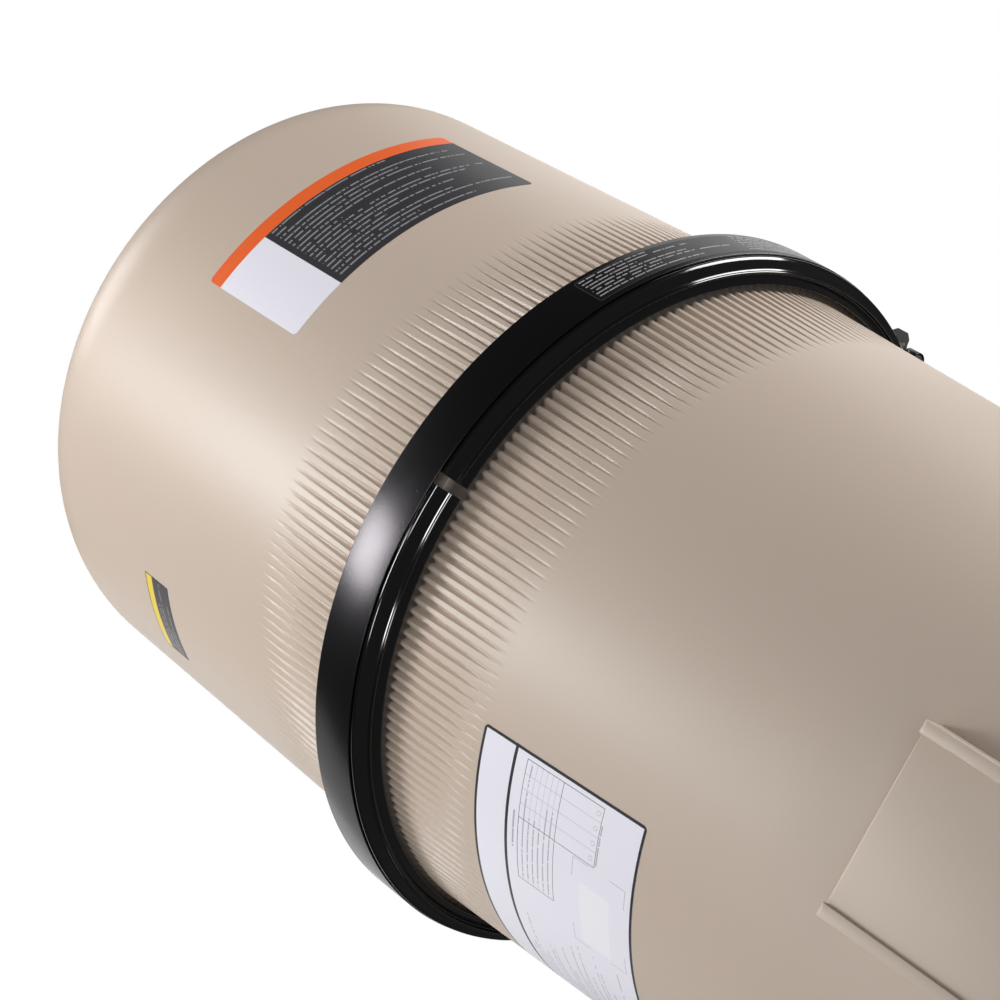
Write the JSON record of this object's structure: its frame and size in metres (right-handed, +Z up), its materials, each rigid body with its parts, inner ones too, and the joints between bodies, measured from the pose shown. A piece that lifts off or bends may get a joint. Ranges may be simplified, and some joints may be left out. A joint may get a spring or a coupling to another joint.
{
  "type": "pool cartridge filter",
  "caption": "Upright pool cartridge filter: two fluted tan shells joined by a black V-clamp, pleated elements inside, domed lid with relief valve and gauge, union ports.",
  "frame": {"origin": "on the floor, in the middle of the foot and of the four anchor holes", "axes": "+Z up the tank's axis; -Y is the front, with the gauge face and the drain; the inlet is to the right of the front and the outlet to the left"},
  "size_m": [0.545, 0.5388, 1.2699],
  "materials": {
    "tan_shell": "moulded, fine orange peel, satin",
    "satin_black_band": "satin black coating",
    "gloss_black_retainer": "gloss black coating",
    "zinc_steel": "zinc plated",
    "spring_steel": "dark spring steel",
    "seal_rubber": "matte",
    "black_plastic": "fine grain",
    "grey_plastic": "moulded",
    "white_plastic": "moulded",
    "knob_plastic": "moulded",
    "brass": "turned",
    "gauge_steel": "brushed",
    "dial_white": "printed face with plain tick marks",
    "needle_red": "painted",
    "clear_lens": "clear",
    "pleated_media": "pleated polyester",
    "end_cap": "cast"
  },
  "bodies": {
    "vessel": {"adapter_gasket": "seal_rubber", "adapter_nut": "black_plastic", "air_bleed_tube": "white_plastic", "air_strainer": "white_plastic", "bottom_manifold": "grey_plastic", "clamp_band": "satin_black_band", "clamp_bolt": "zinc_steel", "clamp_head_seat": "zinc_steel", "clamp_segment_1": "gloss_black_retainer", "clamp_segment_2": "gloss_black_retainer", "clamp_segment_3": "gloss_black_retainer", "clamp_spring": "spring_steel", "clamp_spring_seat": "zinc_steel", "clamp_trunnion_plain_end": "zinc_steel", "clamp_trunnion_spring_end": "zinc_steel", "clamp_washer": "zinc_steel", "drain_seal": "seal_rubber", "element_cage_1": "end_cap", "element_cage_2": "end_cap", "element_cage_3": "end_cap", "element_cage_4": "end_cap", "element_media_1": "pleated_media", "element_media_2": "pleated_media", "element_media_3": "pleated_media", "element_media_4": "pleated_media", "gauge_bezel": "gauge_steel", "gauge_case": "gauge_steel", "gauge_dial": "dial_white", "gauge_lens": "clear_lens", "gauge_stem": "brass", "inlet_bulkhead": "black_plastic", "inlet_diffuser": "white_plastic", "inlet_gasket": "seal_rubber", "inlet_lock_nut": "black_plastic", "inlet_tailpiece": "black_plastic", "inlet_union_seal": "seal_rubber", "outlet_bulkhead": "black_plastic", "outlet_gasket": "seal_rubber", "outlet_lock_nut": "black_plastic", "outlet_pipe": "white_plastic", "outlet_tailpiece": "black_plastic", "outlet_union_seal": "seal_rubber", "relief_adapter": "grey_plastic", "relief_body": "black_plastic", "tank_bottom": "tan_shell", "tank_lid": "tan_shell", "tank_seal": "seal_rubber", "top_manifold": "grey_plastic"},
    "needle": {"gauge_needle": "needle_red"},
    "reference_ring": {"gauge_ring": "black_plastic"},
    "valve_knob": {"relief_knob": "knob_plastic"},
    "poppet": {"relief_poppet": "grey_plastic"},
    "tension_nut": {"clamp_nut": "zinc_steel"},
    "inlet_nut": {"inlet_union_nut": "black_plastic"},
    "outlet_nut": {"outlet_union_nut": "black_plastic"},
    "plug": {"drain_plug": "black_plastic"}
  },
  "joints": [
    {"name": "needle_turn", "type": "hinge", "parent": "vessel", "child": "needle", "pos_m": [0, -0.002, 1.23487], "axis": [0, 1, 0], "range_deg": [0, 270]},
    {"name": "reference_ring_turn", "type": "hinge", "parent": "vessel", "child": "reference_ring", "pos_m": [0, -0.01, 1.23487], "axis": [0, 1, 0], "continuous": true},
    {"name": "knob_turn", "type": "hinge", "parent": "vessel", "child": "valve_knob", "pos_m": [0, 0, 1.17537], "axis": [0, 0, 1], "range_deg": [0, 90]},
    {"name": "poppet_lift", "type": "slide", "parent": "vessel", "child": "poppet", "axis": [0, 0, 1], "range_m": [0, 0.003]},
    {"name": "tension_nut_turn", "type": "hinge", "parent": "vessel", "child": "tension_nut", "pos_m": [-0.05563, 0.26991, 0.692], "axis": [-0.9978, 0.0663, 0], "continuous": true},
    {"name": "inlet_nut_turn", "type": "hinge", "parent": "vessel", "child": "inlet_nut", "pos_m": [0.19975, -0.16643, 0.093], "axis": [0.7683, -0.6401, 0], "continuous": true},
    {"name": "outlet_nut_turn", "type": "hinge", "parent": "vessel", "child": "outlet_nut", "pos_m": [-0.19975, -0.16643, 0.093], "axis": [-0.7683, -0.6401, 0], "continuous": true},
    {"name": "plug_unscrew", "type": "hinge", "parent": "vessel", "child": "plug", "pos_m": [0, -0.24, 0.062], "axis": [0, -1, 0], "range_deg": [0, 1800]}
  ],
  "couplings": [
    {"joint": "poppet_lift", "follows": "knob_turn", "m_per_rad": 0.0019097}
  ]
}
